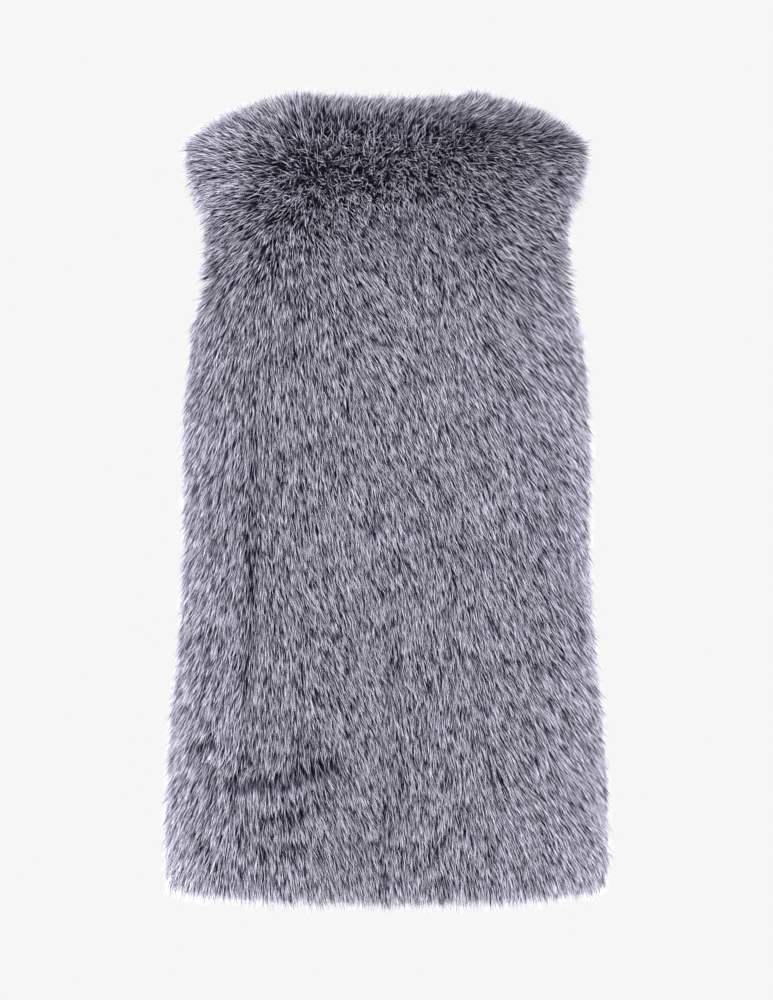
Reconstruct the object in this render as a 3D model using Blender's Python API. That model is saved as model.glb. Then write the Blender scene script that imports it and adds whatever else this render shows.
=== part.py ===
# Faux fur vest: one back panel and two front panels of deep pile cloth, hollow
# and filled out as when it is worn. Each panel is a wall as thick as its pile.
# Metres, +Z up. -Y is the wearer's back, the side that the photograph shows.
# The origin is midway between the high points of the two shoulder seams, where
# the wearer carries the vest. Both seams on each side lie in the plane y = 0.
import math
from collections import namedtuple

import bmesh
import bpy
from mathutils import Vector

# Cut of the vest
HEM_HEIGHT = -0.744
UNDERARM_HEIGHT = -0.195
SHOULDER_HALF = 0.177
SHOULDER_DROP = 0.033
NECK_HALF = 0.085
NECK_DEPTH_BACK = 0.044
NECK_DEPTH_FRONT = 0.106
NECK_ROUND_BACK = 2.2
NECK_ROUND_FRONT = 1.9
FRONT_EDGE_TOP = 0.0175
FRONT_EDGE_HEM = 0.024
SEAM_GAP = 0.0003

# Pile: its depth off the cloth, and how far it reaches past each free edge
PILE_DEPTH = 0.020
PILE_DEPTH_SHOULDER = 0.027
REACH_HEM = 0.029
REACH_NECK = 0.026
REACH_ARMHOLE = 0.022
REACH_FRONT = 0.015
PAST_EDGE_TURN = math.radians(100)
EDGE_STEPS = 3

# Shape over the shoulders
SHOULDER_CURVE = 3.0
YOKE_CURVE = 2.3
ARMHOLE_TURN_BACK = math.radians(33)
ARMHOLE_TURN_FRONT = math.radians(39)
ARMHOLE_SCOOP = 0.36

# Grid of each wall. Places are numbered (row, column), with column 0 in the middle of the
# body and minus numbers on the -X side. The body's top row follows the armhole's scoop, and
# the yoke above it has the inner columns only.
BODY_ROWS = 23
YOKE_ROWS = 7
TOP_ROW = BODY_ROWS + YOKE_ROWS
NECK_COLUMNS = 6
YOKE_COLUMNS = 11
HALF_COLUMNS = 16

Section = namedtuple("Section", "height half_width back_depth front_depth squareness")
Fold = namedtuple("Fold", "across height lean half_length half_width rise")
Panel = namedtuple("Panel", "side edge_top edge_hem neck_depth neck_round armhole_turn folds")

# Level sections through the cloth, from the hem to the shoulder ends
SECTIONS = (
    Section(-0.744, 0.203, 0.140, 0.144, 2.10),
    Section(-0.690, 0.202, 0.137, 0.142, 2.10),
    Section(-0.590, 0.196, 0.128, 0.136, 2.15),
    Section(-0.510, 0.188, 0.121, 0.132, 2.20),
    Section(-0.430, 0.184, 0.117, 0.130, 2.20),
    Section(-0.310, 0.184, 0.118, 0.130, 2.25),
    Section(-0.250, 0.180, 0.120, 0.125, 2.30),
    Section(-0.195, 0.175, 0.119, 0.115, 2.40),
    Section(-0.130, 0.182, 0.119, 0.112, 2.50),
    Section(-0.033, 0.190, 0.119, 0.112, 2.50),
)

# Soft ridges (rise above 0) and troughs, each running at a lean from the vertical
BACK_FOLDS = (
    Fold(-0.128, -0.430, 1, 0.150, 0.024, 0.005),
    Fold(-0.084, -0.680, -4, 0.120, 0.026, 0.006),
    Fold(-0.012, -0.744, 2, 0.190, 0.036, -0.012),
    Fold(0.092, -0.744, 0, 0.200, 0.038, 0.005),
    Fold(-0.097, -0.655, 76, 0.045, 0.014, -0.005),
    Fold(0.150, -0.560, 3, 0.110, 0.024, 0.003),
)
FRONT_FOLDS = (
    Fold(-0.120, -0.744, -3, 0.200, 0.034, -0.009),
    Fold(-0.070, -0.700, -2, 0.170, 0.028, 0.005),
    Fold(0.104, -0.744, 3, 0.220, 0.036, -0.010),
    Fold(0.150, -0.620, 2, 0.140, 0.026, 0.004),
    Fold(0.062, -0.690, 2, 0.160, 0.028, 0.005),
)

BACK = Panel(
    side=-1,
    edge_top=0.0,
    edge_hem=0.0,
    neck_depth=NECK_DEPTH_BACK,
    neck_round=NECK_ROUND_BACK,
    armhole_turn=ARMHOLE_TURN_BACK,
    folds=BACK_FOLDS,
)
FRONT = Panel(
    side=1,
    edge_top=FRONT_EDGE_TOP,
    edge_hem=FRONT_EDGE_HEM,
    neck_depth=NECK_DEPTH_FRONT,
    neck_round=NECK_ROUND_FRONT,
    armhole_turn=ARMHOLE_TURN_FRONT,
    folds=FRONT_FOLDS,
)

FUR_COLOUR = (0.26, 0.25, 0.31, 1.0)
FUR_ROUGHNESS = 0.85


def ease(share):
    share = min(max(share, 0.0), 1.0)
    return share * share * (3 - 2 * share)


def section_at(height):
    # Smooth curve through the table's rows, held level past its ends
    rows = SECTIONS
    height = min(max(height, rows[0].height), rows[-1].height)
    at = next(i for i in range(len(rows) - 1) if height <= rows[i + 1].height)
    before, low, high, after = (rows[min(max(at + k, 0), len(rows) - 1)] for k in (-1, 0, 1, 2))
    span = high.height - low.height
    share = (height - low.height) / span

    def slope(a, b, column):
        return (b[column] - a[column]) / (b.height - a.height)

    values = [height]
    for column in range(1, len(low)):
        rise = high[column] - low[column]
        start = slope(before, high, column) * span
        end = slope(low, after, column) * span
        bend = (2 * share**3 - 3 * share**2 + 1) * low[column]
        bend += (share**3 - 2 * share**2 + share) * start
        bend += (3 * share**2 - 2 * share**3) * (low[column] + rise)
        bend += (share**3 - share**2) * end
        values.append(bend)
    return Section(*values)


def shoulder_height(across):
    # Height of the shoulder line, which passes through 0 at the neck points
    share = (abs(across) / SHOULDER_HALF) ** SHOULDER_CURVE
    neck_share = (NECK_HALF / SHOULDER_HALF) ** SHOULDER_CURVE
    drop = SHOULDER_DROP / (1 - neck_share)
    return drop * (neck_share - share)


def angle_for(across, section):
    # Angle round the section at which the cloth is this far from the middle
    share = min(abs(across) / section.half_width, 1.0)
    return math.asin(share ** (section.squareness / 2))


def level_of(share):
    return UNDERARM_HEIGHT + (-SHOULDER_DROP - UNDERARM_HEIGHT) * share


def armhole_angle(share, panel):
    # Angle from the side line to the armhole's edge above its scoop, by the share of the height
    top = section_at(level_of(1.0))
    at_shoulder = math.pi / 2 - angle_for(SHOULDER_HALF, top)
    rest = (share - ARMHOLE_SCOOP) / (1 - ARMHOLE_SCOOP)
    return panel.armhole_turn + (at_shoulder - panel.armhole_turn) * ease(rest)


def scoop_share(column):
    # How high the armhole's scoop is over an outer column, as a share of the height to the shoulder
    out = (column - YOKE_COLUMNS) / (HALF_COLUMNS - YOKE_COLUMNS)
    return ARMHOLE_SCOOP * (1 - math.sqrt(1 - (1 - out) ** 2))


def top_places(panel):
    # How far each yoke column's top end is from the middle: along the neck, then along the shoulder
    start = math.asin((panel.edge_top / NECK_HALF) ** (panel.neck_round / 2))
    turns = [start + (math.pi / 2 - start) * j / NECK_COLUMNS for j in range(NECK_COLUMNS)]
    along_neck = [NECK_HALF * math.sin(turn) ** (2 / panel.neck_round) for turn in turns]
    rest = YOKE_COLUMNS - NECK_COLUMNS
    along_shoulder = [NECK_HALF + (SHOULDER_HALF - NECK_HALF) * j / rest for j in range(rest + 1)]
    return along_neck + along_shoulder


def top_climb(across, panel):
    # How far up the yoke a column ends, and the section there. The neckline is rounded in plan.
    section = section_at(level_of(1.0))
    if across >= NECK_HALF:
        return 1.0, section
    out = panel.neck_depth * (1 - (across / NECK_HALF) ** panel.neck_round) ** (1 / panel.neck_round)
    turn = 0.0
    for _ in range(6):
        full = section.back_depth if panel.side < 0 else section.front_depth
        full *= math.cos(angle_for(across, section)) ** (2 / section.squareness)
        turn = math.acos(min(out / full, 1.0) ** (YOKE_CURVE / 2))
        section = section_at(level_of(math.sin(turn) ** (2 / YOKE_CURVE)))
    return turn / (math.pi / 2), section


def cloth_point(panel, angle, climb):
    # Point of the cloth at an angle round the body. climb runs from -1 at the hem
    # through 0 at the underarm to 1 at the shoulder line.
    turn = max(climb, 0.0) * math.pi / 2
    rise = math.sin(turn) ** (2 / YOKE_CURVE)
    height = UNDERARM_HEIGHT + (UNDERARM_HEIGHT - HEM_HEIGHT) * climb
    section = section_at(level_of(rise) if climb > 0 else height)
    across = section.half_width * math.sin(angle) ** (2 / section.squareness)
    depth = section.back_depth if panel.side < 0 else section.front_depth
    depth *= abs(math.cos(angle)) ** (2 / section.squareness)
    depth *= abs(math.cos(turn)) ** (2 / YOKE_CURVE)
    if climb > 0:
        height = UNDERARM_HEIGHT + (shoulder_height(across) - UNDERARM_HEIGHT) * rise
    return Vector((across, panel.side * depth, height))


def cloth_place(panel, angle, climb):
    # The point with its outward normal, which lies in the seam plane where the point does
    step = 0.006
    before, after = max(angle - step, 0.0), min(angle + step, math.pi / 2)
    low, high = max(climb - step, -1.0), min(climb + step, 1.0)
    along = cloth_point(panel, after, climb) - cloth_point(panel, before, climb)
    up = cloth_point(panel, angle, high) - cloth_point(panel, angle, low)
    normal = along.cross(up) * -panel.side
    point = cloth_point(panel, angle, climb)
    if abs(point.y) < SEAM_GAP:
        normal.y = 0.0
    return point, normal.normalized()


def climb_at(height):
    if height <= UNDERARM_HEIGHT:
        return (height - UNDERARM_HEIGHT) / (UNDERARM_HEIGHT - HEM_HEIGHT)
    share = (height - UNDERARM_HEIGHT) / (level_of(1.0) - UNDERARM_HEIGHT)
    return climb_of(share)


def climb_of(share):
    return math.asin(min(share, 1.0) ** (YOKE_CURVE / 2)) / (math.pi / 2)


def half_grid(panel):
    # Places on the +X half of the panel, hem first, each a point on the cloth with its normal
    reach = top_places(panel)
    tops = [top_climb(across, panel) for across in reach]
    scoop_climb = climb_of(ARMHOLE_SCOOP)
    start_shares = [math.sin(scoop_climb * climb * math.pi / 2) ** (2 / YOKE_CURVE) for climb, _ in tops]
    start_shares += [scoop_share(column) for column in range(YOKE_COLUMNS + 1, HALF_COLUMNS + 1)]
    places = {}
    for i in range(BODY_ROWS + 1):
        for j, share in enumerate(start_shares):
            height = HEM_HEIGHT + (level_of(share) - HEM_HEIGHT) * i / BODY_ROWS
            down = min(max((UNDERARM_HEIGHT - height) / (UNDERARM_HEIGHT - HEM_HEIGHT), 0.0), 1.0)
            first = angle_for(panel.edge_top + (panel.edge_hem - panel.edge_top) * down, section_at(height))
            if j <= YOKE_COLUMNS:
                angle = first + (math.pi / 2 - panel.armhole_turn - first) * j / YOKE_COLUMNS
            else:
                angle = math.pi / 2 - panel.armhole_turn * (HALF_COLUMNS - j) / (HALF_COLUMNS - YOKE_COLUMNS)
            places[i, j] = cloth_place(panel, angle, climb_at(height))
    for i in range(1, YOKE_ROWS + 1):
        for j, (climb_top, section_top) in enumerate(tops):
            up = i / YOKE_ROWS
            climb = scoop_climb * climb_top + (1 - scoop_climb) * climb_top * up
            share = math.sin(climb / climb_top * math.pi / 2) ** (2 / YOKE_CURVE)
            section = section_at(level_of(math.sin(climb * math.pi / 2) ** (2 / YOKE_CURVE)))
            first = angle_for(panel.edge_top, section)
            last = math.pi / 2 - armhole_angle(share, panel)
            even = j / YOKE_COLUMNS
            aim = (angle_for(reach[j], section_top) - first) / (last - first)
            spread = even + (aim - even) * up**1.5
            places[BODY_ROWS + i, j] = cloth_place(panel, first + (last - first) * spread, climb)
    return places


def mirrored(places):
    return {
        (i, -j): (Vector((-p.x, p.y, p.z)), Vector((-n.x, n.y, n.z)))
        for (i, j), (p, n) in places.items()
    }


def fold_rise(point, folds):
    rise = 0.0
    for fold in folds:
        lean = math.radians(fold.lean)
        off = Vector((point.x - fold.across, point.z - fold.height))
        along = off.x * math.sin(lean) + off.y * math.cos(lean)
        across = off.x * math.cos(lean) - off.y * math.sin(lean)
        rise += fold.rise * math.exp(-((along / fold.half_length) ** 2) - (across / fold.half_width) ** 2)
    seam_share = min(abs(point.y) / 0.05, 1.0)
    return rise * ease(seam_share)


def pile_depth(height):
    toward_top = ease((height - UNDERARM_HEIGHT) / -UNDERARM_HEIGHT)
    return PILE_DEPTH + (PILE_DEPTH_SHOULDER - PILE_DEPTH) * toward_top


def own_side(point, side):
    # Keeps a point on its panel's side of the seam plane, clear of the other panel by the seam gap
    point.y = side * max(side * point.y, SEAM_GAP / 2)
    return point


def free_edges(hand):
    # Runs of places along the edges that are not seamed, with each place's reach.
    # hand is 0 for a panel of both halves, or else the sign of X on its half.
    scoop = [(BODY_ROWS, j) for j in range(HALF_COLUMNS, YOKE_COLUMNS, -1)]
    armhole = scoop + [(i, YOKE_COLUMNS) for i in range(BODY_ROWS, TOP_ROW + 1)]
    if hand == 0:
        hem = [((0, j), REACH_HEM) for j in range(-HALF_COLUMNS, HALF_COLUMNS + 1)]
        neck = [((TOP_ROW, j), REACH_NECK) for j in range(-NECK_COLUMNS, NECK_COLUMNS + 1)]
        right = [(place, REACH_ARMHOLE) for place in armhole]
        left = [((i, -j), REACH_ARMHOLE) for i, j in armhole]
        return [hem, neck, right, left]
    edge = [((0, hand * j), REACH_HEM) for j in range(HALF_COLUMNS, 0, -1)]
    edge += [((0, 0), (REACH_HEM + REACH_FRONT) / 2)]
    edge += [((i, 0), REACH_FRONT) for i in range(1, TOP_ROW + 1)]
    edge += [((TOP_ROW, hand * j), REACH_NECK) for j in range(1, NECK_COLUMNS + 1)]
    return [edge, [((i, hand * j), REACH_ARMHOLE) for i, j in armhole]]


def away_from_edge(points, normals, run):
    # For each place of a run, the direction in the cloth that leaves the panel square to its edge
    spots = [place for place, _ in run]
    aways = []
    for k, spot in enumerate(spots):
        along = points[spots[min(k + 1, len(run) - 1)]] - points[spots[max(k - 1, 0)]]
        away = along.cross(normals[spot])
        if k in (0, len(run) - 1):
            away.y = 0.0
        aways.append(away.normalized())
    middle = len(run) // 2
    i, j = spots[middle]
    round_it = [points[near] for near in ((i - 1, j), (i + 1, j), (i, j - 1), (i, j + 1)) if near in points]
    inside = sum(round_it, Vector()) / len(round_it)
    if aways[middle].dot(points[i, j] - inside) < 0:
        aways = [-away for away in aways]
    return aways


def wall(name, panel, places, hand):
    # Closes one panel: its plain inside, its outside at the pile's tips, rounded free edges and flat seams
    normals = {place: normal for place, (_, normal) in places.items()}
    points = {place: point + normal * fold_rise(point, panel.folds) for place, (point, normal) in places.items()}
    made = bmesh.new()
    inner, outer = {}, {}
    for place, point in points.items():
        tip = point + normals[place] * pile_depth(point.z)
        inner[place] = made.verts.new(own_side(point.copy(), panel.side))
        outer[place] = made.verts.new(own_side(tip, panel.side))
    borders = {}
    for i, j in points:
        cell = ((i, j), (i, j + 1), (i + 1, j + 1), (i + 1, j))
        if any(corner not in points for corner in cell):
            continue
        for skin in (inner, outer):
            made.faces.new([skin[corner] for corner in cell])
        for a, b in zip(cell, cell[1:] + cell[:1]):
            key = frozenset((a, b))
            borders[key] = None if key in borders else (a, b)
    for run in free_edges(hand):
        rims = []
        for (place, reach), away in zip(run, away_from_edge(points, normals, run)):
            rim = [inner[place], outer[place]]
            for step in range(1, EDGE_STEPS + 1):
                turn = PAST_EDGE_TURN * step / EDGE_STEPS
                off = normals[place] * (pile_depth(points[place].z) * math.cos(turn)) + away * (reach * math.sin(turn))
                rim.append(made.verts.new(own_side(points[place] + off, panel.side)))
            rims.append(rim)
        for a, b in zip(rims, rims[1:]):
            for k in range(1, len(a)):
                after = (k + 1) % len(a)
                made.faces.new((a[k], a[after], b[after], b[k]))
        made.faces.new(rims[0])
        made.faces.new(rims[-1])
        for (a, _), (b, _) in zip(run, run[1:]):
            borders[frozenset((a, b))] = None
    for border in borders.values():
        if border:
            a, b = border
            made.faces.new((inner[a], inner[b], outer[b], outer[a]))
    bmesh.ops.recalc_face_normals(made, faces=made.faces)
    mesh = bpy.data.meshes.new(name)
    made.to_mesh(mesh)
    made.free()
    mesh.shade_smooth()
    mesh.set_sharp_from_angle(angle=math.radians(50))
    mesh.materials.append(fur_material(name + "_fur"))
    return bpy.data.objects.new(name, mesh)


def fur_material(name):
    material = bpy.data.materials.new(name)
    material.use_nodes = True
    shader = material.node_tree.nodes["Principled BSDF"]
    shader.inputs["Base Color"].default_value = FUR_COLOUR
    shader.inputs["Roughness"].default_value = FUR_ROUGHNESS
    shader.inputs["Metallic"].default_value = 0.0
    return material


def main():
    for left_over in list(bpy.data.objects):
        bpy.data.objects.remove(left_over)
    collection = bpy.data.collections.new("faux_fur_vest")
    bpy.context.scene.collection.children.link(collection)
    back_half = half_grid(BACK)
    front_half = half_grid(FRONT)
    collection.objects.link(wall("back_panel", BACK, {**mirrored(back_half), **back_half}, 0))
    collection.objects.link(wall("front_panel_right", FRONT, front_half, 1))
    collection.objects.link(wall("front_panel_left", FRONT, mirrored(front_half), -1))


main()
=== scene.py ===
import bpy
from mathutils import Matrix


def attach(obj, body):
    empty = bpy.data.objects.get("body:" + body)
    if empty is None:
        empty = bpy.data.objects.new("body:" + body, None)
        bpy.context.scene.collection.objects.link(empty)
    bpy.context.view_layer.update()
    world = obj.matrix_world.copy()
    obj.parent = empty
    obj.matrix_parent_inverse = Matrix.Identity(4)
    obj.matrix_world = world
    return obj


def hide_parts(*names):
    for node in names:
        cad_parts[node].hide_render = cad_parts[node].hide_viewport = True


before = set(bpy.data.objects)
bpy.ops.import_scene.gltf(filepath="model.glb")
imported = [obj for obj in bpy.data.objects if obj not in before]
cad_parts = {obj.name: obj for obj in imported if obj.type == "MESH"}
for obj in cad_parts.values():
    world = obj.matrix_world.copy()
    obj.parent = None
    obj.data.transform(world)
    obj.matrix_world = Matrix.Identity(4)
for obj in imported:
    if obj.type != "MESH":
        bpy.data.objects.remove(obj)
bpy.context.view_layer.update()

import math

import bpy
import numpy as np

# The vest hangs as worn: back panel to -Y, two fronts to +Y, +Z up, in metres.
# Its cloth follows one curved form. The fur is many small tapered locks on it.

cut = {
    "hemHeight": -0.744,
    "underarmHeight": -0.195,
    "shoulderHalf": 0.177,
    "shoulderDrop": 0.033,
    "shoulderCurve": 3.0,
    "yokeCurve": 2.3,
    "neckHalf": 0.085,
    "armholeScoop": 0.36,  # share of the armhole's height that its low curve takes
    "seamGap": 0.0003,
    "foldFade": 0.05,  # depth over which folds fade toward the side seams
}

# height, half width, depth of the back, depth of the front, squareness of the ring
sections = np.array([
    (-0.744, 0.203, 0.140, 0.144, 2.10),
    (-0.690, 0.202, 0.137, 0.142, 2.10),
    (-0.590, 0.196, 0.128, 0.136, 2.15),
    (-0.510, 0.188, 0.121, 0.132, 2.20),
    (-0.430, 0.184, 0.117, 0.130, 2.20),
    (-0.310, 0.184, 0.118, 0.130, 2.25),
    (-0.250, 0.180, 0.120, 0.125, 2.30),
    (-0.195, 0.175, 0.119, 0.115, 2.40),
    (-0.130, 0.182, 0.119, 0.112, 2.50),
    (-0.033, 0.190, 0.119, 0.112, 2.50),
])

# Soft folds: x, z, lean in degrees, half length, half width, rise
backFolds = [
    (-0.128, -0.430, 1, 0.150, 0.024, 0.005),
    (-0.084, -0.680, -4, 0.120, 0.026, 0.006),
    (-0.012, -0.744, 2, 0.190, 0.036, -0.012),
    (0.092, -0.744, 0, 0.200, 0.038, 0.005),
    (-0.097, -0.655, 76, 0.045, 0.014, -0.005),
    (0.150, -0.560, 3, 0.110, 0.024, 0.003),
]
frontFolds = [
    (-0.120, -0.744, -3, 0.200, 0.034, -0.009),
    (-0.070, -0.700, -2, 0.170, 0.028, 0.005),
    (0.104, -0.744, 3, 0.220, 0.036, -0.010),
    (0.150, -0.620, 2, 0.140, 0.026, 0.004),
    (0.062, -0.690, 2, 0.160, 0.028, 0.005),
]


def ease(share):
    share = np.clip(share, 0.0, 1.0)
    return share * share * (3 - 2 * share)


def unit(vectors):
    return vectors / np.maximum(np.linalg.norm(vectors, axis=-1, keepdims=True), 1e-9)


def sectionAt(height):
    # Smooth curve through the table's rows
    z = sections[:, 0]
    height = np.clip(height, z[0], z[-1])
    at = np.clip(np.searchsorted(z, height) - 1, 0, len(z) - 2)
    nextRow = np.minimum(np.arange(len(z)) + 1, len(z) - 1)
    lastRow = np.maximum(np.arange(len(z)) - 1, 0)
    slopes = (sections[nextRow] - sections[lastRow]) / (z[nextRow] - z[lastRow])[:, None]
    span = (z[at + 1] - z[at])[..., None]
    share = (height - z[at])[..., None] / span
    low, high = sections[at], sections[at + 1]
    out = (2 * share**3 - 3 * share**2 + 1) * low + (share**3 - 2 * share**2 + share) * slopes[at] * span
    out += (3 * share**2 - 2 * share**3) * high + (share**3 - share**2) * slopes[at + 1] * span
    return out[..., 1], out[..., 2], out[..., 3], out[..., 4]


def shoulderHeight(across):
    share = (np.abs(across) / cut["shoulderHalf"]) ** cut["shoulderCurve"]
    neckShare = (cut["neckHalf"] / cut["shoulderHalf"]) ** cut["shoulderCurve"]
    return cut["shoulderDrop"] / (1 - neckShare) * (neckShare - share)


def levelOf(share):
    # Height of the ring that shapes the yoke at a share of its rise
    return cut["underarmHeight"] + (-cut["shoulderDrop"] - cut["underarmHeight"]) * share


def climbOf(share):
    # A climb runs from -1 at the hem through 0 at the underarm to 1 at the shoulder seam
    return np.arcsin(np.clip(share, 0, 1) ** (cut["yokeCurve"] / 2)) / (math.pi / 2)


def riseOf(climb):
    return np.sin(np.maximum(climb, 0) * math.pi / 2) ** (2 / cut["yokeCurve"])


def climbAt(height):
    below = (height - cut["underarmHeight"]) / (cut["underarmHeight"] - cut["hemHeight"])
    above = climbOf((height - cut["underarmHeight"]) / (levelOf(1.0) - cut["underarmHeight"]))
    return np.where(height <= cut["underarmHeight"], below, above)


def angleFor(across, halfWidth, squareness):
    return np.arcsin(np.minimum(np.abs(across) / halfWidth, 1.0) ** (squareness / 2))


def clothPoint(panel, angle, climb):
    # The cloth at an angle from the middle toward the side and at a climb, on the +X half
    rise = riseOf(climb)
    height = cut["underarmHeight"] + (cut["underarmHeight"] - cut["hemHeight"]) * climb
    level = np.where(climb > 0, levelOf(rise), height)
    halfWidth, backDepth, frontDepth, squareness = sectionAt(level)
    across = halfWidth * np.sin(angle) ** (2 / squareness)
    depth = backDepth if panel["side"] < 0 else frontDepth
    depth = depth * np.abs(np.cos(angle)) ** (2 / squareness)
    depth = depth * np.abs(np.cos(np.maximum(climb, 0) * math.pi / 2)) ** (2 / cut["yokeCurve"])
    yoke = cut["underarmHeight"] + (shoulderHeight(across) - cut["underarmHeight"]) * rise
    return np.stack((across, panel["side"] * depth, np.where(climb > 0, yoke, height)), axis=-1)


def alongAndAcross(points, x, z, turn):
    # Distances along and across a line through one place, turned off upright by some degrees
    turn = math.radians(turn)
    offX, offZ = points[:, 0] - x, points[:, 2] - z
    along = offX * math.sin(turn) + offZ * math.cos(turn)
    return along, offX * math.cos(turn) - offZ * math.sin(turn)


def foldRise(points, folds):
    rise = np.zeros(len(points))
    for x, z, lean, halfLength, halfWidth, height in folds:
        along, across = alongAndAcross(points, x, z, lean)
        rise += height * np.exp(-((along / halfLength) ** 2) - (across / halfWidth) ** 2)
    return rise * ease(np.abs(points[:, 1]) / cut["foldFade"])


mesh = {
    "bodyRows": 46,
    "yokeRows": 16,
    "neckColumns": 12,
    "yokeColumns": 22,
    "halfColumns": 32,
    "neckPasses": 6,  # rounds that settle how high the neckline climbs
    "yokeSpread": 1.5,  # how late up the yoke its columns move over to the neck and shoulder
    "slopeStep": 0.004,
    "backingThickness": 0.0014,
    "leastRadius": 0.12,  # the cloth map measures its arcs with at least this radius
    "outerShift": 10,  # the outer face's map lies this far to one side
}


def topOfColumns(panel):
    # The angle at which each yoke column ends, and how high it climbs there
    neck, yoke = mesh["neckColumns"], mesh["yokeColumns"]
    start = math.asin((panel["edgeTop"] / cut["neckHalf"]) ** (panel["neckRound"] / 2))
    turns = start + (math.pi / 2 - start) * np.arange(neck) / neck
    alongNeck = cut["neckHalf"] * np.sin(turns) ** (2 / panel["neckRound"])
    alongShoulder = np.linspace(cut["neckHalf"], cut["shoulderHalf"], yoke - neck + 1)
    across = np.concatenate((alongNeck, alongShoulder))
    out = panel["neckDepth"] * np.maximum(1 - (across / cut["neckHalf"]) ** panel["neckRound"], 0)
    out = panel["neckDepth"] * (out / panel["neckDepth"]) ** (1 / panel["neckRound"])
    climb = np.ones(len(across))
    for _ in range(mesh["neckPasses"]):
        halfWidth, backDepth, frontDepth, squareness = sectionAt(levelOf(riseOf(climb)))
        full = backDepth if panel["side"] < 0 else frontDepth
        full = full * np.cos(angleFor(across, halfWidth, squareness)) ** (2 / squareness)
        turn = np.arccos(np.minimum(out / full, 1.0) ** (cut["yokeCurve"] / 2))
        climb = np.where(across >= cut["neckHalf"] - 1e-9, 1.0, turn / (math.pi / 2))
    halfWidth, _, _, squareness = sectionAt(levelOf(riseOf(climb)))
    return angleFor(across, halfWidth, squareness), climb


def bodyGrid(panel, scoopClimbs):
    # Angle and climb of each place on the +X half, from the hem up to the armhole's low curve
    body, yoke, half = mesh["bodyRows"], mesh["yokeColumns"], mesh["halfColumns"]
    out = (np.arange(yoke + 1, half + 1) - yoke) / (half - yoke)
    scoopShares = cut["armholeScoop"] * (1 - np.sqrt(1 - (1 - out) ** 2))
    shares = np.concatenate((riseOf(scoopClimbs), scoopShares))
    i = np.arange(body + 1)[:, None] / body
    height = cut["hemHeight"] + (levelOf(shares)[None, :] - cut["hemHeight"]) * i
    down = (cut["underarmHeight"] - height) / (cut["underarmHeight"] - cut["hemHeight"])
    halfWidth, _, _, squareness = sectionAt(height)
    edge = panel["edgeTop"] + (panel["edgeHem"] - panel["edgeTop"]) * np.clip(down, 0, 1)
    first = angleFor(edge, halfWidth, squareness)
    j = np.arange(half + 1)[None, :]
    inner = first + (math.pi / 2 - panel["armholeTurn"] - first) * j / yoke
    outer = math.pi / 2 - panel["armholeTurn"] * (half - j) / (half - yoke)
    return np.where(j <= yoke, inner, outer), climbAt(height)


def yokeGrid(panel, scoop, topAngles, topClimbs):
    # The same for the yoke, up to the neck and the shoulder seam
    yokeRows, yoke = mesh["yokeRows"], mesh["yokeColumns"]
    up = np.arange(1, yokeRows + 1)[:, None] / yokeRows
    climb = (scoop + (1 - scoop) * up) * topClimbs[None, :]
    share = riseOf(climb / topClimbs[None, :])
    halfWidth, _, _, squareness = sectionAt(levelOf(riseOf(climb)))
    first = angleFor(panel["edgeTop"], halfWidth, squareness)
    topWidth, _, _, topSquare = sectionAt(np.array(levelOf(1.0)))
    atShoulder = math.pi / 2 - angleFor(cut["shoulderHalf"], topWidth, topSquare)
    rest = ease((share - cut["armholeScoop"]) / (1 - cut["armholeScoop"]))
    last = math.pi / 2 - (panel["armholeTurn"] + (atShoulder - panel["armholeTurn"]) * rest)
    even = np.arange(yoke + 1)[None, :] / yoke
    aim = (topAngles[None, :] - first) / (last - first)
    spread = even + (aim - even) * up ** mesh["yokeSpread"]
    return first + (last - first) * spread, climb


def gridPlaces(panel):
    # Numbers the panel's grid places, and gives the angle, climb and hand of each
    body, yoke, half, hand = mesh["bodyRows"], mesh["yokeColumns"], mesh["halfColumns"], panel["hand"]
    topAngles, topClimbs = topOfColumns(panel)
    scoop = climbOf(np.array(cut["armholeScoop"]))
    bodyAngle, bodyClimb = bodyGrid(panel, scoop * topClimbs)
    yokeAngle, yokeClimb = yokeGrid(panel, scoop, topAngles, topClimbs)
    firstColumn = 0 if hand > 0 else -half
    lastColumn = 0 if hand < 0 else half
    ids, angles, climbs, signs = {}, [], [], []
    for i in range(body + mesh["yokeRows"] + 1):
        for j in range(firstColumn, lastColumn + 1):
            if i > body and abs(j) > yoke:
                continue
            ids[i, j] = len(angles)
            angles.append(bodyAngle[i, abs(j)] if i <= body else yokeAngle[i - body - 1, abs(j)])
            climbs.append(bodyClimb[i, abs(j)] if i <= body else yokeClimb[i - body - 1, abs(j)])
            signs.append((j > 0) - (j < 0) if j else (hand or 1))
    return ids, np.array(angles), np.array(climbs), np.array(signs, float)


def freeEdges(panel):
    # Grid places along each free edge: the back's hem, armholes and neck,
    # or a front's hem, front edge and neck as one, and its armhole
    yoke, half, neck, hand = mesh["yokeColumns"], mesh["halfColumns"], mesh["neckColumns"], panel["hand"]
    body, top = mesh["bodyRows"], mesh["bodyRows"] + mesh["yokeRows"]
    armhole = [(body, j) for j in range(half, yoke, -1)] + [(i, yoke) for i in range(body, top + 1)]
    if hand == 0:
        hem = [(0, j) for j in range(-half, half + 1)]
        neckline = [(top, j) for j in range(-neck, neck + 1)]
        return [hem, armhole, neckline, [(i, -j) for i, j in armhole]]
    edge = [(0, hand * j) for j in range(half, -1, -1)]
    edge += [(i, 0) for i in range(1, top + 1)]
    edge += [(top, hand * j) for j in range(1, neck + 1)]
    return [edge, [(i, hand * j) for i, j in armhole]]


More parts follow.
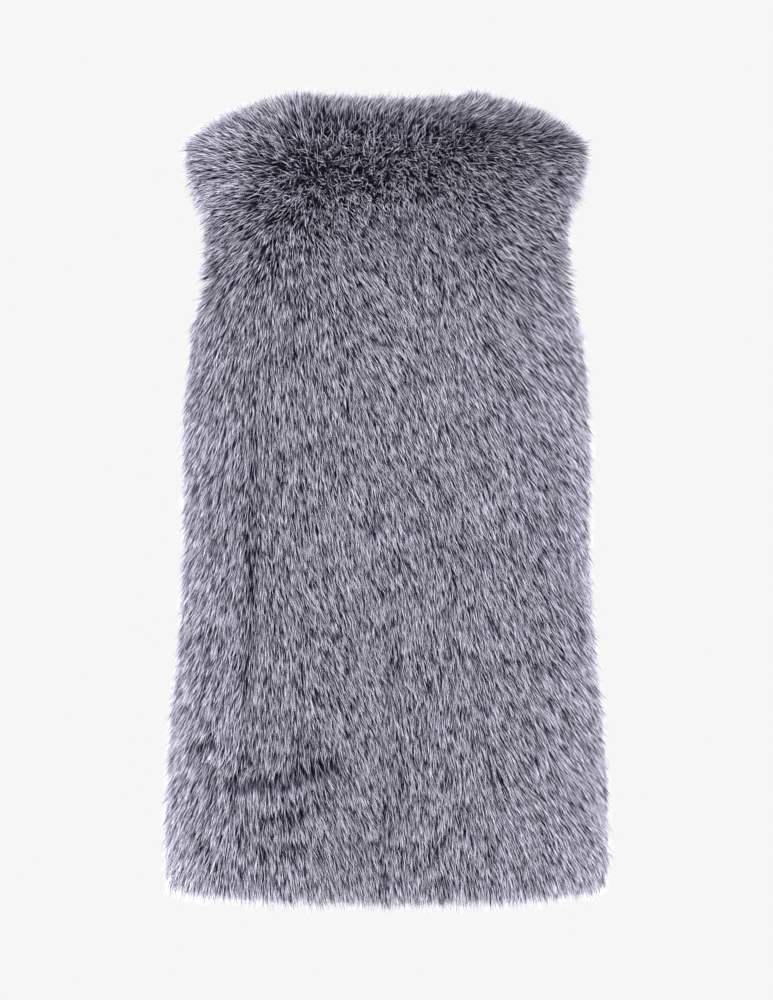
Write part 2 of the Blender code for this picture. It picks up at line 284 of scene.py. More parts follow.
def wayOff(run, ids, points, normals):
    # The way off the cloth at each place of a free edge
    spots = np.array([ids[place] for place in run])
    around = points[spots]
    away = unit(np.cross(np.gradient(around, axis=0), normals[spots]))
    away[[0, -1], 1] = 0
    middle = len(spots) // 2
    i, j = run[middle]
    near = [ids[place] for place in ((i - 1, j), (i + 1, j), (i, j - 1), (i, j + 1)) if place in ids]
    if np.dot(away[middle], around[middle] - points[near].mean(axis=0)) < 0:
        away = -away
    return spots, unit(away)


def panelForm(panel):
    # The panel's cloth as one grid: points, outward normals, the way the pile runs, cells and free edges
    ids, angles, climbs, signs = gridPlaces(panel)
    flip = np.stack((signs, np.ones(len(signs)), np.ones(len(signs))), axis=-1)
    step = mesh["slopeStep"]
    points = clothPoint(panel, angles, climbs)
    along = clothPoint(panel, np.minimum(angles + step, math.pi / 2), climbs)
    along = along - clothPoint(panel, np.maximum(angles - step, 0), climbs)
    up = clothPoint(panel, angles, np.minimum(climbs + step, 1.0))
    up = up - clothPoint(panel, angles, np.maximum(climbs - step, -1.0))
    normals = np.cross(along, up) * -panel["side"]
    normals[np.abs(points[:, 1]) < cut["seamGap"], 1] = 0
    points, normals, down = points * flip, unit(normals) * flip, -unit(up) * flip
    points = points + normals * foldRise(points, panel["folds"])[:, None]
    cells = []
    for i, j in ids:
        corners = [(i, j), (i, j + 1), (i + 1, j + 1), (i + 1, j)]
        if all(corner in ids for corner in corners):
            cells.append([ids[corner] for corner in corners])
    return {
        "points": points,
        "normals": normals,
        "down": down,
        "cells": np.array(cells),
        "edges": [wayOff(run, ids, points, normals) for run in freeEdges(panel)],
    }


def newMesh(name, verts, faces, material, uvMaps):
    # Makes a mesh object from arrays, and lets it ride on the vest's one body
    made = bpy.data.meshes.new(name)
    size = faces.shape[1]
    made.vertices.add(len(verts))
    made.vertices.foreach_set("co", verts.astype(np.float32).ravel())
    made.loops.add(faces.size)
    made.loops.foreach_set("vertex_index", faces.astype(np.int32).ravel())
    made.polygons.add(len(faces))
    made.polygons.foreach_set("loop_start", np.arange(0, faces.size, size, dtype=np.int32))
    made.polygons.foreach_set("use_smooth", np.full(len(faces), True))
    for mapName, uv in uvMaps:
        layer = made.uv_layers.new(name=mapName)
        layer.data.foreach_set("uv", uv.astype(np.float32).ravel())
    made.update(calc_edges=True)
    made.validate()
    made.materials.append(material)
    piece = bpy.data.objects.new(name, made)
    bpy.context.scene.collection.objects.link(piece)
    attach(piece, "root")
    return piece


def makeBacking(panel, form, material):
    # The knitted backing: a thin closed shell on the panel's form
    points, normals, cells = form["points"], form["normals"], form["cells"]
    count = len(points)
    outer = points + normals * mesh["backingThickness"]
    verts = np.concatenate((points, outer))
    verts[:, 1] = panel["side"] * np.maximum(panel["side"] * verts[:, 1], cut["seamGap"] / 2)
    rimSides = {}  # sides that only one cell has
    for cell in cells:
        for a, b in zip(cell, np.roll(cell, -1)):
            if (b, a) in rimSides:
                del rimSides[b, a]
            else:
                rimSides[a, b] = True
    rim = np.array([(b, a, a + count, b + count) for a, b in rimSides])
    faces = np.concatenate((cells[:, ::-1], cells + count, rim))
    middle = cells[len(cells) // 2]
    facing = np.cross(verts[middle[1]] - verts[middle[0]], verts[middle[3]] - verts[middle[0]])
    if np.dot(facing, normals[middle[0]]) < 0:
        faces = faces[:, ::-1]
    radius = np.sqrt(verts[:, 0] ** 2 + verts[:, 1] ** 2)
    turn = np.arctan2(verts[:, 0], panel["side"] * verts[:, 1])
    cloth = np.stack((turn * np.maximum(radius, mesh["leastRadius"]), verts[:, 2]), axis=-1)
    uv = cloth[faces.ravel()]
    uv[len(cells) * 4:len(cells) * 8, 0] += mesh["outerShift"]
    name = panel["node"].replace("panel", "backing")
    return newMesh(name, verts, faces, material, [("ClothUV", uv)])


# How the pile is brushed, in degrees off straight down:
# a column for each place across, a row for each height
backComb = {
    "across": (-0.187, -0.127, -0.097, -0.067, -0.007, 0.053, 0.113, 0.173),
    "heights": (-0.744, -0.62, -0.48, -0.34, -0.20, -0.13, -0.065, -0.035, 0.0),
    "leans": (
        (-4, 14, 20, 26, 6, 8, 8, 16),
        (-6, 10, 12, 22, 14, -2, 14, 20),
        (2, 12, 24, 26, 12, 4, 8, 14),
        (-6, 12, 16, 16, 18, 22, 16, 22),
        (2, 6, 12, 18, 26, 16, 32, 22),
        (4, -24, 12, 22, 22, 18, 38, 24),
        (-75, -68, -40, 14, 12, 14, 24, 32),
        (-95, -100, -98, 10, 16, 18, 32, 42),
        (-88, -100, -110, 110, 86, 85, 80, 74),
    ),
}
frontComb = {
    "across": (-0.19, -0.10, -0.02, 0.02, 0.10, 0.19),
    "heights": (-0.744, -0.40, -0.13, -0.035, 0.0),
    "leans": (
        (6, 10, 4, -4, -10, -6),
        (4, 8, 6, -6, -8, -4),
        (8, 16, 10, -10, -16, -8),
        (-60, -50, -10, 10, 50, 60),
        (-85, -80, -20, 20, 80, 85),
    ),
}

# Partings and small buckles: x, z, turn in degrees, half length, half width, spread, lift, painted shade
# (darker beside a parting and below a buckle; a negative value paints light)
backPartings = [
    (-0.129, -0.425, 1, 0.175, 0.010, 16, 0, 0.34),
    (-0.012, -0.620, 2, 0.170, 0.018, -8, 0, 0.22),
    (-0.128, -0.634, 92, 0.020, 0.009, 0, 24, 0.75),
    (-0.080, -0.622, 68, 0.034, 0.010, 0, 26, 0.80),
    (-0.165, -0.600, 70, 0.014, 0.008, 0, 18, 0.50),
    (-0.098, -0.664, 84, 0.018, 0.008, 0, 18, 0.50),
    (-0.100, -0.694, 82, 0.028, 0.008, 0, 18, 0.45),
    (-0.168, -0.162, 62, 0.022, 0.008, 0, 12, 0.55),
    (0.186, -0.004, 40, 0.008, 0.006, 14, 0, 0.36),
    (0.148, -0.420, -9, 0.100, 0.015, -8, 0, 0.20),
    # The negative last values in this row and in the row after next paint pale streaks of light down the
    # sides
    (0.172, -0.430, -7, 0.120, 0.014, 0, 0, -0.18),
    (-0.150, -0.450, 0, 0.110, 0.016, 0, 0, 0.14),
    (-0.180, -0.500, 2, 0.080, 0.014, 0, 0, -0.16),
]
frontPartings = [
    (0.120, -0.500, 2, 0.140, 0.014, 14, 0, 0.30),
    (-0.110, -0.640, 72, 0.035, 0.011, 0, 18, 0.34),
]
partingShape = {
    "sharpness": 3,
    "paintedShadePlace": 0.4,  # where the painted shade line lies across a parting, in half widths
    "paintedShadeWidth": 0.45,
}

# Where the pile stands up or is trimmed: x, z, half width, half height, lift, ruffling, length
backStanding = [
    (-0.052, -0.050, 0.075, 0.034, 20, 0.16, 0.0),
    (0.020, -0.036, 0.070, 0.022, 12, 0.10, 0.0),
    (-0.120, -0.080, 0.080, 0.075, 8, 0.07, -0.03),
    (0.130, -0.090, 0.080, 0.075, 8, 0.05, -0.02),
    (-0.145, 0.0, 0.040, 0.022, 16, 0.0, 0.0),
    (0.150, 0.0, 0.040, 0.022, 20, 0.0, 0.0),
    (-0.182, -0.088, 0.032, 0.034, -14, 0.0, -0.38),
    (0.182, -0.094, 0.032, 0.034, -12, 0.0, -0.36),
    (-0.160, -0.150, 0.030, 0.034, 12, 0.0, 0.0),
    (0.160, -0.160, 0.030, 0.040, 10, 0.0, 0.0),
    (-0.184, -0.225, 0.030, 0.026, -8, 0.0, -0.08),
    (0.184, -0.200, 0.030, 0.030, -8, 0.0, -0.10),
    (-0.205, -0.744, 0.050, 0.030, 0, 0.0, -0.05),
    (0.205, -0.744, 0.040, 0.030, 0, 0.0, -0.055),
]
frontStanding = [
    (0.0, -0.030, 0.120, 0.030, 8, 0.08, 0.0),
    (-0.145, 0.0, 0.040, 0.022, 16, 0.0, 0.0),
    (0.150, 0.0, 0.040, 0.022, 20, 0.0, 0.0),
    (-0.160, -0.160, 0.030, 0.040, 12, 0.0, 0.0),
    (0.160, -0.160, 0.030, 0.040, 12, 0.0, 0.0),
    (-0.205, -0.744, 0.050, 0.030, 0, 0.0, -0.10),
    (0.205, -0.744, 0.040, 0.030, 0, 0.0, -0.04),
]

pile = {
    "seed": 11,
    "length": 0.0335,
    "lengthSpread": 0.05,
    "lengthRange": (0.85, 1.12),
    "lockRadius": 0.0030,
    "ruffle": 0.04,
    "mostStray": 2,  # random directions are held within this many spreads
    "thinning": 2.4,  # how much sparser ruffled pile is
    "heights": (-0.744, -0.25, -0.16, -0.10, -0.06, -0.035, 0.0, 0.03),
    "lifts": (34, 34, 39, 42, 42, 42, 48, 54),  # degrees off the cloth at each height
    "lengths": (1.0, 1.0, 0.97, 0.96, 0.96, 0.96, 0.96, 0.95),
    "whorlLift": 40,  # more lift where neighbours point apart
    "seamLift": 28,
    "seamReach": 0.014,
    "seamLowest": -0.12,
    "moreAtEdges": 1.5,
    "edgeReach": 0.017,
    "edgeTurn": 0.60,
    "edgeFade": 0.8,
    "armholeTop": -0.1,
    "armholeCalm": 0.85,
    "frontEdgeHalf": 0.06,
    "frontEdgeCalm": 0.6,
    # Each wave is its strength and its size
    "leanWaves": ((4, 0.09), (3, 0.03)),
    "leanJitter": 4,
    "liftWave": (3, 0.04),
    "liftJitter": 3,
    "shadeWave": (0.03, 0.035),
    "shadeJitter": 0.03,
}
waves = {
    "count": 7,
    "sizes": (0.7, 1.5),
    "calm": 3.0,
}
hair = {
    "perLock": 6,
    "stray": 0.05,
    "shortest": 0.80,
    "shortestAtEdges": 0.12,  # added beside a free edge
    "longest": 1.04,
    "paleLength": 1.02,
    "darkLength": 0.94,
    "gather": 0.18,  # how far a lock's tips draw together
    "gatherRange": (0.3, 1.3),
    "gatherAtEdges": 0.7,  # taken away beside a free edge
    "bend": 0.15,
    "bendRange": (0.8, 1.2),
    "twist": 0.6,
    "width": 0.00083,
    "widthRange": (0.6, 1.3),
    "widest": 0.55,
    "paleShare": 0.46,
    "paleTone": 0.80,
    # painted light added to pale hairs where the pile is ruffled
    "standingPaintedLight": 2.0,
    "darkTone": 0.04,
    "toneSpread": 0.17,
    "toneColumns": 64,
    "columnHalf": 0.3,  # half of a hair's width on the map, in columns
    "rootPlace": 0.01,
    "paleTipPlace": 0.99,
    "darkTipPlace": 0.68,  # a dark hair ends before its colour is fully the tip's
}


def softWaves(points, wave, rng):
    # Slow random waves over the cloth, mostly within their strength either way
    strength, size = wave
    total = np.zeros(len(points))
    for _ in range(waves["count"]):
        way = unit(rng.normal(size=3)) * 2 * math.pi / (size * rng.uniform(*waves["sizes"]))
        total += np.sin(points @ way + rng.uniform(0, 2 * math.pi))
    return strength * (total / waves["calm"])


def strayWays(count, rng):
    return np.clip(rng.normal(0, 1, (count, 3)), -pile["mostStray"], pile["mostStray"])


def nearSpot(points, x, z, halfWidth, halfHeight):
    # From 1 at a spot down to 0 well away from it
    return np.exp(-(((points[:, 0] - x) / halfWidth) ** 2) - ((points[:, 2] - z) / halfHeight) ** 2)


def nearEdges(form, reach):
    # For each grid place: how near a free edge is, from 0 to 1, and the way off that edge
    share = np.zeros(len(form["points"]))
    away = np.zeros_like(form["points"])
    for spots, ways in form["edges"]:
        edge = form["points"][spots]
        gaps = np.linalg.norm(form["points"][:, None, :] - edge[None, :, :], axis=-1)
        closest = gaps.argmin(axis=1)
        here = np.clip(1 - gaps.min(axis=1) / reach, 0, 1)
        better = here > share
        share = np.where(better, here, share)
        away[better] = ways[closest[better]]
    return share, away


def growLocks(panel, form, rng):
    # Where the locks of one panel grow: roots, normals, the way down, and how near a free edge is
    points, cells = form["points"], form["cells"]
    edgeShare, edgeAway = nearEdges(form, pile["edgeReach"])
    triangles = np.concatenate((cells[:, [0, 1, 2]], cells[:, [0, 2, 3]]))
    a, b, c = (points[triangles[:, k]] for k in range(3))
    areas = np.linalg.norm(np.cross(b - a, c - a), axis=-1) / 2
    count = int(areas.sum() * panel["locksPerSquareMetre"])
    print(panel["node"], "cloth area", round(float(areas.sum()), 4), "locks", count)
    chance = areas * (1 + pile["moreAtEdges"] * edgeShare[triangles].mean(axis=1))
    middles = (a + b + c) / 3
    for x, z, halfWidth, halfHeight, _, ruffling, _ in panel["standing"]:
        chance *= 1 - pile["thinning"] * ruffling * nearSpot(middles, x, z, halfWidth, halfHeight)
    steps = (np.arange(count) + rng.random(count)) / count
    spots = np.searchsorted(np.cumsum(chance) / chance.sum(), steps)
    chosen = triangles[np.minimum(spots, len(triangles) - 1)]
    r, s = np.sqrt(rng.random(count)), rng.random(count)
    weights = np.stack((1 - r, r * (1 - s), r * s), axis=-1)[..., None]

    def blend(values):
        return (values[chosen] * weights).sum(axis=1)

    normal = unit(blend(form["normals"]))
    down = blend(form["down"])
    return {
        "root": blend(points),
        "normal": normal,
        "down": unit(down - normal * (down * normal).sum(axis=-1, keepdims=True)),
        "edge": blend(edgeShare[:, None])[:, 0],
        "away": blend(edgeAway),
    }


def readComb(comb, across, height):
    # Lean at each place, read from the table with soft steps, and how far its neighbours point apart
    leans = np.radians(np.array(comb["leans"], float))
    ways = np.stack((np.sin(leans), np.cos(leans)), axis=-1)
    xs, zs = np.array(comb["across"]), np.array(comb["heights"])
    i = np.clip(np.searchsorted(zs, height) - 1, 0, len(zs) - 2)
    j = np.clip(np.searchsorted(xs, across) - 1, 0, len(xs) - 2)
    up = ease((height - zs[i]) / (zs[i + 1] - zs[i]))[:, None]
    over = ease((across - xs[j]) / (xs[j + 1] - xs[j]))[:, None]
    low = ways[i, j] * (1 - over) + ways[i, j + 1] * over
    high = ways[i + 1, j] * (1 - over) + ways[i + 1, j + 1] * over
    way = low * (1 - up) + high * up
    return np.degrees(np.arctan2(way[:, 0], way[:, 1])), 1 - np.linalg.norm(way, axis=-1)


def partPile(root, partings):
    # What the partings add at each root: lean and lift in degrees, and painted shade, which is painted
    # light where it is negative
    lean, lift, paintedShade = np.zeros(len(root)), np.zeros(len(root)), np.zeros(len(root))
    for x, z, turn, halfLength, halfWidth, spread, raising, paintedShadeAmount in partings:
        along, across = alongAndAcross(root, x, z, turn)
        strength = np.exp(-((along / halfLength) ** 4))
        near = strength * np.exp(-((across / halfWidth) ** 2))
        side = np.tanh(partingShape["sharpness"] * across / halfWidth)
        lean += spread * side * near
        lift -= raising * side * near
        # Painted shade: a dark band just beside each parting and below each buckle
        off = (across / halfWidth - partingShape["paintedShadePlace"]) / partingShape["paintedShadeWidth"]
        paintedShade += paintedShadeAmount * strength * np.exp(-(off**2))
    return lean, lift, paintedShade


def combLocks(panel, locks, rng):
    # Direction, length, shade and ruffling of each lock
    root, normal, down = locks["root"], locks["normal"], locks["down"]
    count = len(root)
    side = np.cross(normal, down)
    addLean, addLift, paintedShade = partPile(root, panel["partings"])
    brushed, apart = readComb(panel["comb"], root[:, 0], root[:, 2])
    lean = brushed * -panel["side"] + addLean
    for wave in pile["leanWaves"]:
        lean = lean + softWaves(root, wave, rng)
    lean = np.radians(lean + rng.normal(0, pile["leanJitter"], count))
    lay = down * np.cos(lean)[:, None] + side * np.sin(lean)[:, None]
    lift = np.interp(root[:, 2], pile["heights"], pile["lifts"])
    lift = lift + addLift + pile["whorlLift"] * apart
    # Over a shoulder seam both panels' pile stands up and meets
    nearSeam = np.exp(-((root[:, 1] / pile["seamReach"]) ** 2)) * (root[:, 2] > pile["seamLowest"])
    lift += pile["seamLift"] * nearSeam
    ruffle = np.full(count, pile["ruffle"])
    trim = np.ones(count)
    for x, z, halfWidth, halfHeight, raising, ruffling, longer in panel["standing"]:
        near = nearSpot(root, x, z, halfWidth, halfHeight)
        lift += raising * near
        ruffle += ruffling * near
        trim += longer * near
    lift = lift + softWaves(root, pile["liftWave"], rng)
    lift = np.radians(lift + rng.normal(0, pile["liftJitter"], count))
    way = lay * np.cos(lift)[:, None] + normal * np.sin(lift)[:, None]
    # The pile turns off a free edge, but less along the fronts and the low curve of an armhole
    rising = np.clip(locks["away"][:, 2], 0, 1) * (root[:, 2] < pile["armholeTop"])
    frontEdge = np.abs(locks["away"][:, 0]) * (np.abs(root[:, 0]) < pile["frontEdgeHalf"])
    edge = locks["edge"] ** pile["edgeFade"]
    edge = edge * (1 - pile["armholeCalm"] * rising) * (1 - pile["frontEdgeCalm"] * frontEdge)
    way = way + locks["away"] * (edge * pile["edgeTurn"])[:, None]
    way = unit(way + ruffle[:, None] * strayWays(count, rng))
    length = pile["length"] * np.interp(root[:, 2], pile["heights"], pile["lengths"]) * trim
    length = length * np.clip(1 + pile["lengthSpread"] * rng.normal(0, 1, count), *pile["lengthRange"])
    # Random tone, less the partings' painted shade; where that shade is negative it adds painted light
    shade = softWaves(root, pile["shadeWave"], rng) + rng.normal(0, pile["shadeJitter"], count) - paintedShade
    return way, length, shade, ruffle


def hairsOf(panel, locks, rng):
    # Splits each lock into hairs: flat tapered blades that gather toward the lock's tip
    way, length, shade, ruffle = combLocks(panel, locks, rng)
    repeat = np.repeat(np.arange(len(way)), hair["perLock"])
    count = len(repeat)
    normal, down = locks["normal"][repeat], locks["down"][repeat]
    edge, ruffle = locks["edge"][repeat], ruffle[repeat]
    side = np.cross(normal, down)
    turn = rng.uniform(0, 2 * math.pi, count)
    out = pile["lockRadius"] * np.sqrt(rng.random(count))
    offset = (side * np.cos(turn)[:, None] + down * np.sin(turn)[:, None]) * out[:, None]
    hairWay = unit(way[repeat] + (ruffle + hair["stray"])[:, None] * strayWays(count, rng))
    pale = rng.random(count) < hair["paleShare"]
    shortest = hair["shortest"] + hair["shortestAtEdges"] * edge
    hairLength = length[repeat] * rng.uniform(shortest, hair["longest"])
    hairLength = hairLength * np.where(pale, hair["paleLength"], hair["darkLength"])
    root = locks["root"][repeat] + offset
    gather = hair["gather"] * rng.uniform(*hair["gatherRange"], count) * (1 - hair["gatherAtEdges"] * edge)
    tip = root + hairWay * hairLength[:, None] - offset * gather[:, None]
    # The bend fades where the pile stands up
    standing = np.clip((hairWay * normal).sum(axis=-1), 0, 1)
    bend = hair["bend"] * rng.uniform(*hair["bendRange"], count) * (1 - standing**3)
    middle = root + (tip - root) * hair["widest"] + normal * (bend * hairLength)[:, None]
    run = unit(tip - root)
    flat = unit(np.cross(run, normal))
    raised = np.cross(flat, run)
    twist = rng.normal(0, hair["twist"], count)
    wide = flat * np.cos(twist)[:, None] + raised * np.sin(twist)[:, None]
    width = hair["width"] * panel["hairWidth"] * rng.uniform(*hair["widthRange"], count) / 2
    toSide = wide * width[:, None]
    verts = np.stack((root, middle - toSide, middle + toSide, tip), axis=1)
    # Painted light: among ruffled hairs the pale ones are made lighter, as if they caught more light
    lit = hair["paleTone"] + hair["standingPaintedLight"] * (ruffle - pile["ruffle"])
    spread = hair["toneSpread"] * rng.normal(0, 1, count)
    tone = np.where(pale, lit, hair["darkTone"]) + shade[repeat] + spread
    column = np.floor(np.clip(tone, 0.0, 0.999) * hair["toneColumns"])
    return verts, column, np.where(pale, hair["paleTipPlace"], hair["darkTipPlace"])


def makeFur(name, verts, column, tipPlace, material):
    # One fur piece: two triangles a hair, mapped by its tone across and its root to tip upward
    count = len(verts)
    faces = np.arange(count)[:, None, None] * 4 + np.array([[0, 1, 2], [1, 3, 2]])[None]
    u = (column + 0.5) / hair["toneColumns"]
    half = hair["columnHalf"] / hair["toneColumns"]
    middlePlace = hair["widest"] * tipPlace
    uvVerts = np.stack((
        np.stack((u, np.full(count, hair["rootPlace"])), axis=-1),
        np.stack((u - half, middlePlace), axis=-1),
        np.stack((u + half, middlePlace), axis=-1),
        np.stack((u, tipPlace), axis=-1),
    ), axis=1)
    uv = uvVerts[:, [0, 1, 2, 1, 3, 2]].reshape(-1, 2)
    maps = [("StrandUV", uv), ("OFBake", uv)]
    return newMesh(name, verts.reshape(-1, 3), faces.reshape(-1, 3), material, maps)


furLook = {
    "colours": {
        "Root": (0.002, 0.002, 0.009, 1),
        "Middle": (0.056, 0.053, 0.138, 1),
        "Tip": (0.91, 0.875, 1.0, 1),
        "Dark Tint": (0.068, 0.066, 0.122, 1),
        "Pale Tint": (1.0, 1.0, 1.0, 1),
    },
    "rootFade": (0.12, 0.48),  # stretch of a hair over which root turns to middle
    "tipFade": (0.44, 0.84),
    "finish": {
        "Roughness": 0.55,
        "Specular IOR Level": 0.12,
        "Sheen Weight": 0.06,
        "Sheen Roughness": 0.4,
    },
}
backingLook = {
    "colour": (0.17, 0.165, 0.20, 1),
    "paintedGrooveShade": (0.135, 0.131, 0.16, 1),
    "underFur": (0.004, 0.004, 0.012, 1),
    "stitchesPerMetre": 330,
    "stitchWaves": {"X": math.pi, "Y": 2.2},
    "bump": {"Distance": 0.0006, "Strength": 0.3},
    "finish": {"Roughness": 0.92},
}


def feed(tree, source, socket):
    # Joins a socket to its source, or sets it where the source is a plain value
    if isinstance(source, bpy.types.NodeSocket):
        tree.links.new(source, socket)
    else:
        socket.default_value = source


def addMath(tree, operation, *sources):
    made = tree.nodes.new("ShaderNodeMath")
    made.operation = operation
    for source, socket in zip(sources, made.inputs):
        feed(tree, source, socket)
    return made.outputs[0]


def addMix(tree, factor, first, second, blend="MIX"):
    made = tree.nodes.new("ShaderNodeMix")
    made.data_type = "RGBA"
    made.blend_type = blend
    feed(tree, factor, made.inputs["Factor"])
    feed(tree, first, made.inputs["A"])
    feed(tree, second, made.inputs["B"])
    return made.outputs["Result"]


def hairShadeGroup():
    # Colour along a hair from its root to its tip, with one tone for each hair
    group = bpy.data.node_groups.new("hairShade", "ShaderNodeTree")
    face = group.interface
    face.new_socket("Place", in_out="INPUT", socket_type="NodeSocketVector")
    for name in furLook["colours"]:
        face.new_socket(name, in_out="INPUT", socket_type="NodeSocketColor")
    face.new_socket("Colour", in_out="OUTPUT", socket_type="NodeSocketColor")
    given, result = group.nodes.new("NodeGroupInput"), group.nodes.new("NodeGroupOutput")
    place = group.nodes.new("ShaderNodeSeparateXYZ")
    feed(group, given.outputs["Place"], place.inputs[0])
    along = given.outputs["Root"]
    for fade, name in (("rootFade", "Middle"), ("tipFade", "Tip")):
        step = group.nodes.new("ShaderNodeMapRange")
        step.interpolation_type = "SMOOTHSTEP"
        feed(group, place.outputs["Y"], step.inputs["Value"])
        feed(group, furLook[fade][0], step.inputs["From Min"])
        feed(group, furLook[fade][1], step.inputs["From Max"])
        along = addMix(group, step.outputs["Result"], along, given.outputs[name])
    tint = addMix(group, place.outputs["X"], given.outputs["Dark Tint"], given.outputs["Pale Tint"])
    feed(group, addMix(group, 1.0, along, tint, "MULTIPLY"), result.inputs["Colour"])
    return group


def knitGroup():
    # Rows of small stitches as a mask, and a mask of the outer face
    group = bpy.data.node_groups.new("knitStitches", "ShaderNodeTree")
    face = group.interface
    face.new_socket("Place", in_out="INPUT", socket_type="NodeSocketVector")
    face.new_socket("Stitches", in_out="INPUT", socket_type="NodeSocketFloat")
    face.new_socket("Mask", in_out="OUTPUT", socket_type="NodeSocketFloat")
    face.new_socket("Outer", in_out="OUTPUT", socket_type="NodeSocketFloat")
    given, result = group.nodes.new("NodeGroupInput"), group.nodes.new("NodeGroupOutput")
    scale = group.nodes.new("ShaderNodeVectorMath")
    scale.operation = "SCALE"
    feed(group, given.outputs["Place"], scale.inputs[0])
    feed(group, given.outputs["Stitches"], scale.inputs["Scale"])
    cloth, stitch = (group.nodes.new("ShaderNodeSeparateXYZ") for _ in range(2))
    feed(group, given.outputs["Place"], cloth.inputs[0])
    feed(group, scale.outputs[0], stitch.inputs[0])
    outer = addMath(group, "GREATER_THAN", cloth.outputs["X"], mesh["outerShift"] / 2)
    feed(group, outer, result.inputs["Outer"])
    ribs = []
    for axis, factor in backingLook["stitchWaves"].items():
        sine = addMath(group, "SINE", addMath(group, "MULTIPLY", stitch.outputs[axis], factor))
        ribs.append(addMath(group, "ABSOLUTE", sine))
    feed(group, addMath(group, "MULTIPLY", *ribs), result.inputs["Mask"])
    return group


def startMaterial(name, finish, mapName, group):
    # A material with its shader's plain values set, and the node group that reads a map
    material = bpy.data.materials.new(name)
    material.use_nodes = True
    tree = material.node_tree
    shader = tree.nodes["Principled BSDF"]
    for socket, value in finish.items():
        shader.inputs[socket].default_value = value
    place = tree.nodes.new("ShaderNodeUVMap")
    place.uv_map = mapName
    effect = tree.nodes.new("ShaderNodeGroup")
    effect.node_tree = group
    feed(tree, place.outputs[0], effect.inputs["Place"])
    return material, tree, shader, effect


def furMaterial(name, group):
    material, tree, shader, shade = startMaterial(name, furLook["finish"], "StrandUV", group)
    for socket, colour in furLook["colours"].items():
        shade.inputs[socket].default_value = colour
    feed(tree, shade.outputs["Colour"], shader.inputs["Base Color"])
    return material


def backingMaterial(name, group):
    material, tree, shader, knit = startMaterial(name, backingLook["finish"], "ClothUV", group)
    knit.inputs["Stitches"].default_value = backingLook["stitchesPerMetre"]
    # Painted shade: where the stitch mask is low, in the grooves the bump sinks, the colour is darker
    inner = addMix(tree, knit.outputs["Mask"], backingLook["paintedGrooveShade"], backingLook["colour"])
    both = addMix(tree, knit.outputs["Outer"], inner, backingLook["underFur"])
    feed(tree, both, shader.inputs["Base Color"])
    bump = tree.nodes.new("ShaderNodeBump")
    for socket, value in backingLook["bump"].items():
        bump.inputs[socket].default_value = value
    feed(tree, knit.outputs["Mask"], bump.inputs["Height"])
    feed(tree, bump.outputs["Normal"], shader.inputs["Normal"])
    return material


studio = {
    "cameraDistance": 3.4,
    "cameraHeight": -0.38,
    "cameraLens": 122.4,
    "cameraReach": 50,
    "backgroundTone": 0.921,
    "floorRadius": 3.2,
    "floorCorners": 64,
    "floorHeight": -1.38,
    "floorTone": 0.85,
    "floorRoughness": 0.9,
}
# Name, place, size and power of each light
lights = [
    ("keySoftbox", (-1.5, -2.7, 0.9), 1.8, 42),
    ("fillSoftbox", (1.8, -2.6, 0.2), 1.8, 27),
    ("topSoftbox", (0.0, 0.5, 1.7), 1.6, 20),
    ("leftSoftbox", (-2.2, 1.1, -0.7), 1.6, 182),
    ("rightSoftbox", (2.2, 1.1, -0.7), 1.6, 124),
    ("frontSoftbox", (0.0, 2.8, 0.6), 1.8, 24),
]


def setBackground(scene):
    scene.view_settings.view_transform = "Standard"
    world = bpy.data.worlds.new("studio")
    world.use_nodes = True
    tone = studio["backgroundTone"]
    world.node_tree.nodes["Background"].inputs["Color"].default_value = (tone, tone, tone, 1)
    scene.world = world


def setCamera(scene):
    camera = bpy.data.objects.new("camera", bpy.data.cameras.new("camera"))
    camera.location = (0, -studio["cameraDistance"], studio["cameraHeight"])
    camera.rotation_euler = (math.pi / 2, 0, 0)
    camera.data.lens = studio["cameraLens"]
    camera.data.clip_end = studio["cameraReach"]
    scene.collection.objects.link(camera)
    scene.camera = camera


def setLights(scene):
    # Each softbox faces the middle of the vest
    for name, spot, size, power in lights:
        lamp = bpy.data.lights.new(name, "AREA")
        lamp.size, lamp.energy = size, power
        holder = bpy.data.objects.new(name, lamp)
        holder.location = spot
        holder.visible_camera = False
        aim = np.array((0, 0, studio["cameraHeight"])) - np.array(spot)
        tilt = math.atan2(math.hypot(aim[0], aim[1]), -aim[2])
        holder.rotation_euler = (tilt, 0, math.atan2(aim[1], aim[0]) - math.pi / 2)
        scene.collection.objects.link(holder)


def makeFloor(scene):
    corners = studio["floorCorners"]
    turns = np.linspace(0, 2 * math.pi, corners, endpoint=False)
    x, y = studio["floorRadius"] * np.cos(turns), studio["floorRadius"] * np.sin(turns)
    ring = np.stack((x, y, np.full(corners, studio["floorHeight"])), axis=-1)
    plane = bpy.data.meshes.new("floor")
    plane.from_pydata(ring.tolist(), [], [list(range(corners))])
    finish = bpy.data.materials.new("paleFloor")
    finish.use_nodes = True
    shader = finish.node_tree.nodes["Principled BSDF"]
    tone = studio["floorTone"]
    shader.inputs["Base Color"].default_value = (tone, tone, tone, 1)
    shader.inputs["Roughness"].default_value = studio["floorRoughness"]
    plane.materials.append(finish)
    floor = bpy.data.objects.new("floor", plane)
    scene.collection.objects.link(floor)


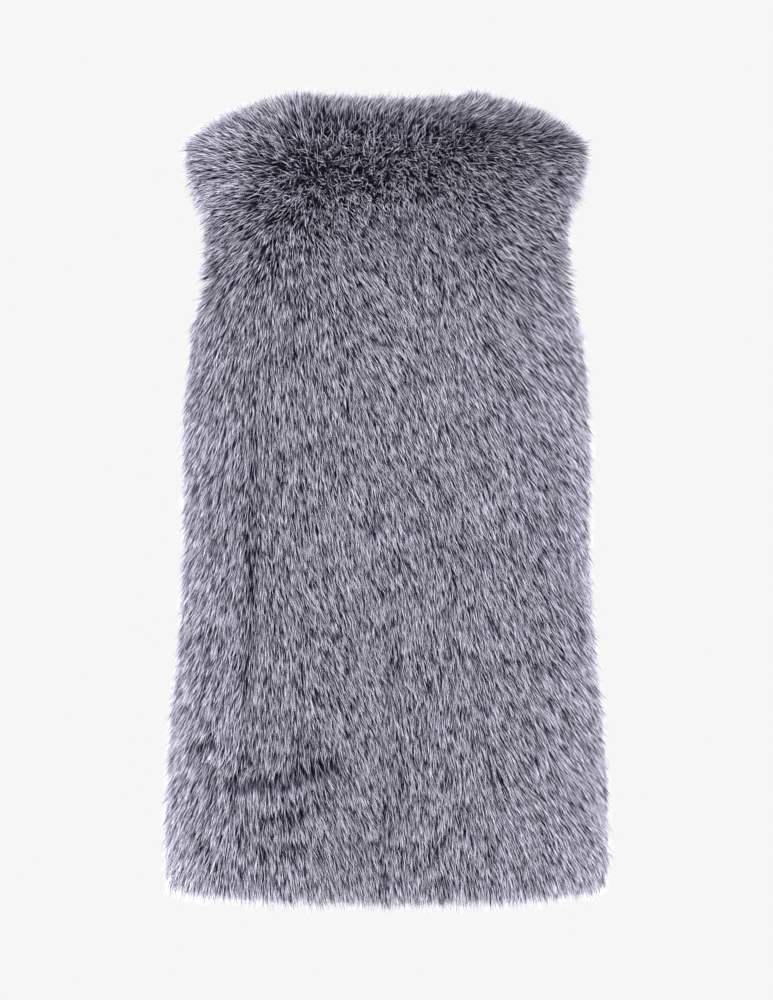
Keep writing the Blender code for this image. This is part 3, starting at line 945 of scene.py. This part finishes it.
backPanel = {
    "node": "back_panel",
    "side": -1,
    "hand": 0,
    "edgeTop": 0.0,
    "edgeHem": 0.0,
    "neckDepth": 0.044,
    "neckRound": 2.2,
    "armholeTurn": math.radians(33),
    "folds": backFolds,
    "comb": backComb,
    "partings": backPartings,
    "standing": backStanding,
    "flat": (0.56, 0.79),
    "area": 0.36,
    "locksPerSquareMetre": 134000,
    "hairWidth": 1.0,
    "furPieces": ("top", "upper", "lower", "hem"),
}
frontRight = {
    "node": "front_panel_right",
    "side": 1,
    "hand": 1,
    "edgeTop": 0.0175,  # how far off the middle its front edge runs
    "edgeHem": 0.024,
    "neckDepth": 0.106,
    "neckRound": 1.9,
    "armholeTurn": math.radians(39),
    "folds": frontFolds,
    "comb": frontComb,
    "partings": frontPartings,
    "standing": frontStanding,
    "flat": (0.26, 0.79),
    "area": 0.162,
    "locksPerSquareMetre": 98000,
    "hairWidth": 1.14,
    "furPieces": ("upper", "lower"),
}
frontLeft = {**frontRight, "node": "front_panel_left", "hand": -1}


def dressPanel(panel, hairShade, knitStitches, rng):
    form = panelForm(panel)
    backing = makeBacking(panel, form, backingMaterial(panel["node"] + "_knit", knitStitches))
    fur = furMaterial(panel["node"] + "_fur", hairShade)
    locks = growLocks(panel, form, rng)
    verts, column, tipPlace = hairsOf(panel, locks, rng)
    # The fur pieces share out the hairs by height
    order = np.argsort(-np.repeat(locks["root"][:, 2], hair["perLock"]), kind="stable")
    for part, chosen in zip(panel["furPieces"], np.array_split(order, len(panel["furPieces"]))):
        name = panel["node"].replace("panel", "fur") + "_" + part
        makeFur(name, verts[chosen], column[chosen], tipPlace[chosen], fur)
        print(name, "triangles", 2 * len(chosen))
    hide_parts(panel["node"])
    print(panel["node"], "dressed")


studioScene = bpy.context.scene
setBackground(studioScene)
setCamera(studioScene)
setLights(studioScene)
makeFloor(studioScene)
print("stage set")
hairShade, knitStitches = hairShadeGroup(), knitGroup()
rng = np.random.default_rng(pile["seed"])
for panel in (backPanel, frontLeft, frontRight):
    dressPanel(panel, hairShade, knitStitches, rng)
